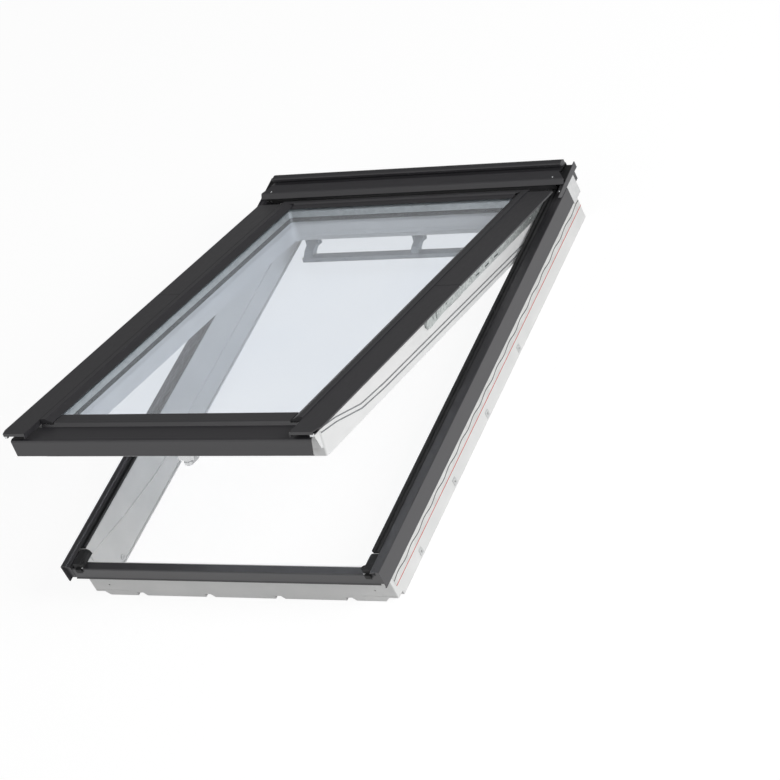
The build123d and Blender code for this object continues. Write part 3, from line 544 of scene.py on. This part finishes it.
def backdrop_share(tree, path):
    """1 for every ray that shows the plain white background, 0 for the light."""
    direct = calculate(tree, "MAXIMUM", path.outputs["Is Camera Ray"],
                       path.outputs["Is Transmission Ray"])
    unlit = calculate(tree, "LESS_THAN", path.outputs["Diffuse Depth"], 0.5)
    return calculate(tree, "MULTIPLY", direct, unlit)


bpy.ops.object.select_all(action="DESELECT")
bpy.ops.mesh.primitive_plane_add(size=30.0, location=(0.0, 0.0, -0.0005))
floor = bpy.context.object
floor.name = "floor"
floor_paint = bpy.data.materials.new("floor_paint")
floor_paint.use_nodes = True
floor_tree = floor_paint.node_tree
floor_shader = floor_tree.nodes["Principled BSDF"]
floor_shader.inputs["Roughness"].default_value = 0.9
floor_shader.inputs["Specular IOR Level"].default_value = 0.0
floor_shader.inputs["Emission Color"].default_value = grey(1.0)
floor_path = add(floor_tree, "ShaderNodeLightPath")
nearer = add(floor_tree, "ShaderNodeMapRange",
             {"From Min": 0.8, "From Max": 2.0, "To Min": 1.0, "To Max": 0.0})
join(floor_tree, axes_of(floor_tree), "Y", nearer, "Value")
mirrored = calculate(floor_tree, "MULTIPLY", floor_path.outputs["Is Glossy Ray"],
                     nearer.outputs["Result"])
seen = calculate(floor_tree, "MAXIMUM", backdrop_share(floor_tree, floor_path), mirrored)
floor_tone = add(floor_tree, "ShaderNodeMix", data_type="RGBA")
floor_tone.inputs["A"].default_value = grey(0.75)
floor_tone.inputs["B"].default_value = grey(0.16)
floor_tree.links.new(seen, floor_tone.inputs["Factor"])
join(floor_tree, floor_tone, "Result", floor_shader, "Base Color")
glow = calculate(floor_tree, "MULTIPLY", seen, 0.90)
floor_tree.links.new(glow, floor_shader.inputs["Emission Strength"])
floor.data.materials.append(floor_paint)

world = bpy.data.worlds.new("studio")
bpy.context.scene.world = world
world.use_nodes = True
world_tree = world.node_tree
background = world_tree.nodes["Background"]
background.inputs["Color"].default_value = grey(1.0)
sky_place = add(world_tree, "ShaderNodeTexCoord")
sky_axes = add(world_tree, "ShaderNodeSeparateXYZ")
join(world_tree, sky_place, "Generated", sky_axes, "Vector")
sky_level = add(world_tree, "ShaderNodeMapRange",
                {"From Min": -0.3, "From Max": 0.5, "To Min": 0.46, "To Max": 0.19})
join(world_tree, sky_axes, "Y", sky_level, "Value")
sky_path = add(world_tree, "ShaderNodeLightPath")
sky_strength = calculate(world_tree, "MAXIMUM", backdrop_share(world_tree, sky_path),
                         sky_level.outputs["Result"])
world_tree.links.new(sky_strength, background.inputs["Strength"])

middle = (0.0, 0.0, 0.2)


def lamp(name, place, size, power):
    """Soft square lamp aimed at the middle of the window."""
    data = bpy.data.lights.new(name, "AREA")
    data.shape = "SQUARE"
    data.size = size
    data.energy = power
    made = bpy.data.objects.new(name, data)
    bpy.context.scene.collection.objects.link(made)
    made.location = place
    aim = Vector(middle) - Vector(place)
    made.rotation_euler = aim.to_track_quat("-Z", "Y").to_euler()


lamp("side_lamp", (4.5, -0.6, 2.6), 2.5, 150.0)
lamp("front_lamp", (-2.0, -4.0, 3.0), 2.0, 14.0)

camera_data = bpy.data.cameras.new("camera")
camera_data.sensor_width = 36.0
camera_data.lens = 151.96
camera_data.clip_end = 100.0
camera = bpy.data.objects.new("camera", camera_data)
bpy.context.scene.collection.objects.link(camera)
camera.matrix_world = Matrix((
    (0.8516, 0.0123, 0.5240, 3.9577),
    (0.3616, 0.7100, -0.6042, -4.40855),
    (-0.3795, 0.7041, 0.6003, 4.4211),
    (0.0, 0.0, 0.0, 1.0),
))
bpy.context.scene.camera = camera
bpy.context.scene.view_settings.view_transform = "Standard"
